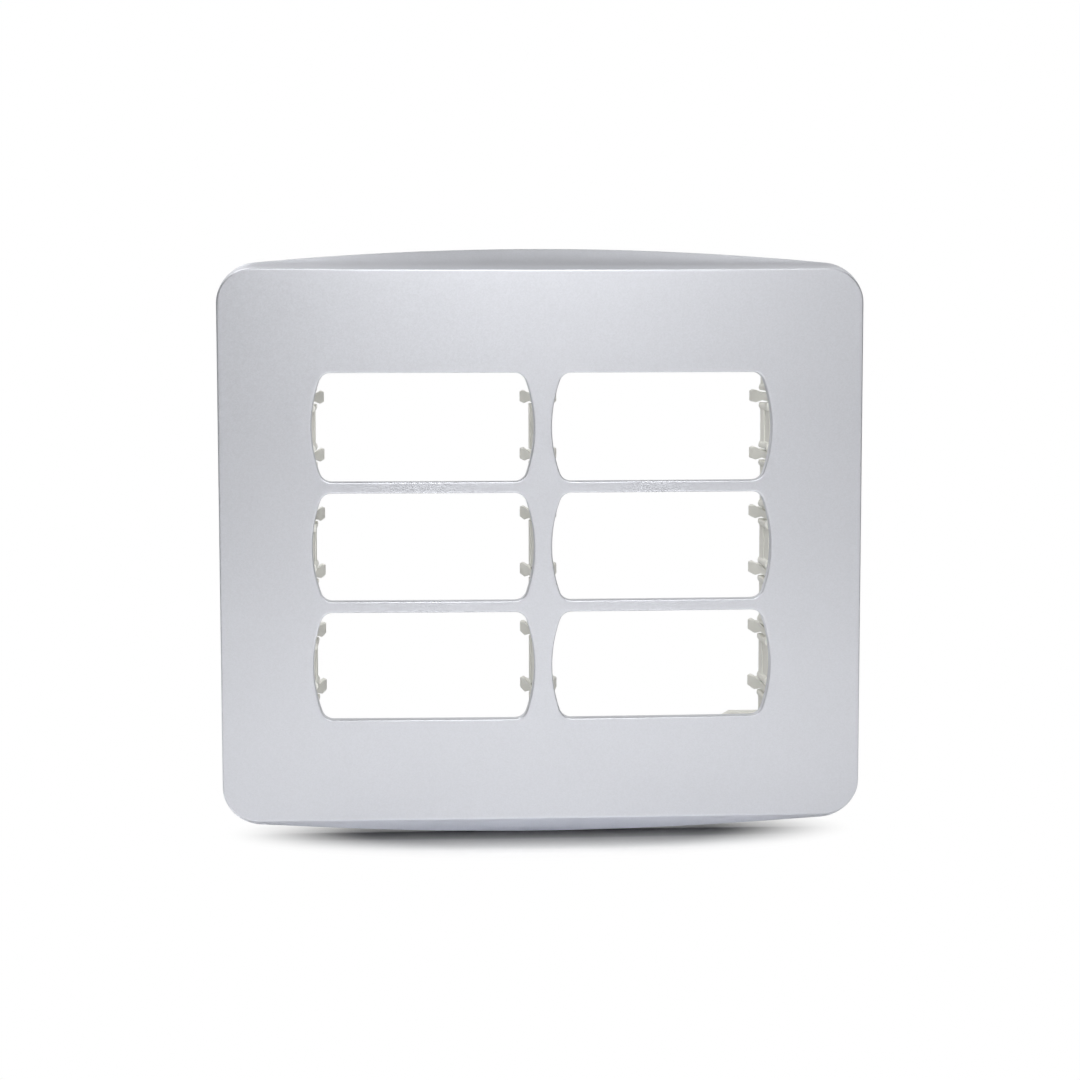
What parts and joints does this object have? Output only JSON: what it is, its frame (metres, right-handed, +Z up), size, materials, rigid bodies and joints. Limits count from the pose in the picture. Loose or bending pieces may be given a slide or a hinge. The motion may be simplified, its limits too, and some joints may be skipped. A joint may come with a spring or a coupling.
{
  "type": "grid switch plate",
  "caption": "Silver clip-on wall plate with six module windows over a cream support frame, screwed to a flush wall box.",
  "frame": {"origin": "centre of the four box screws, on the wall plane that the cover's rear rim touches", "axes": "+X right as seen from the room, +Y into the wall along the screws, +Z up"},
  "size_m": [0.1314, 0.028, 0.1208],
  "materials": {
    "cover": "satin metallic paint",
    "frame": "fine moulded satin",
    "screw": "zinc plated"
  },
  "bodies": {
    "root": {"cover_plate": "cover", "support_frame": "frame", "box_screw_top_left": "screw", "box_screw_top_right": "screw", "box_screw_bottom_left": "screw", "box_screw_bottom_right": "screw"}
  },
  "joints": []
}
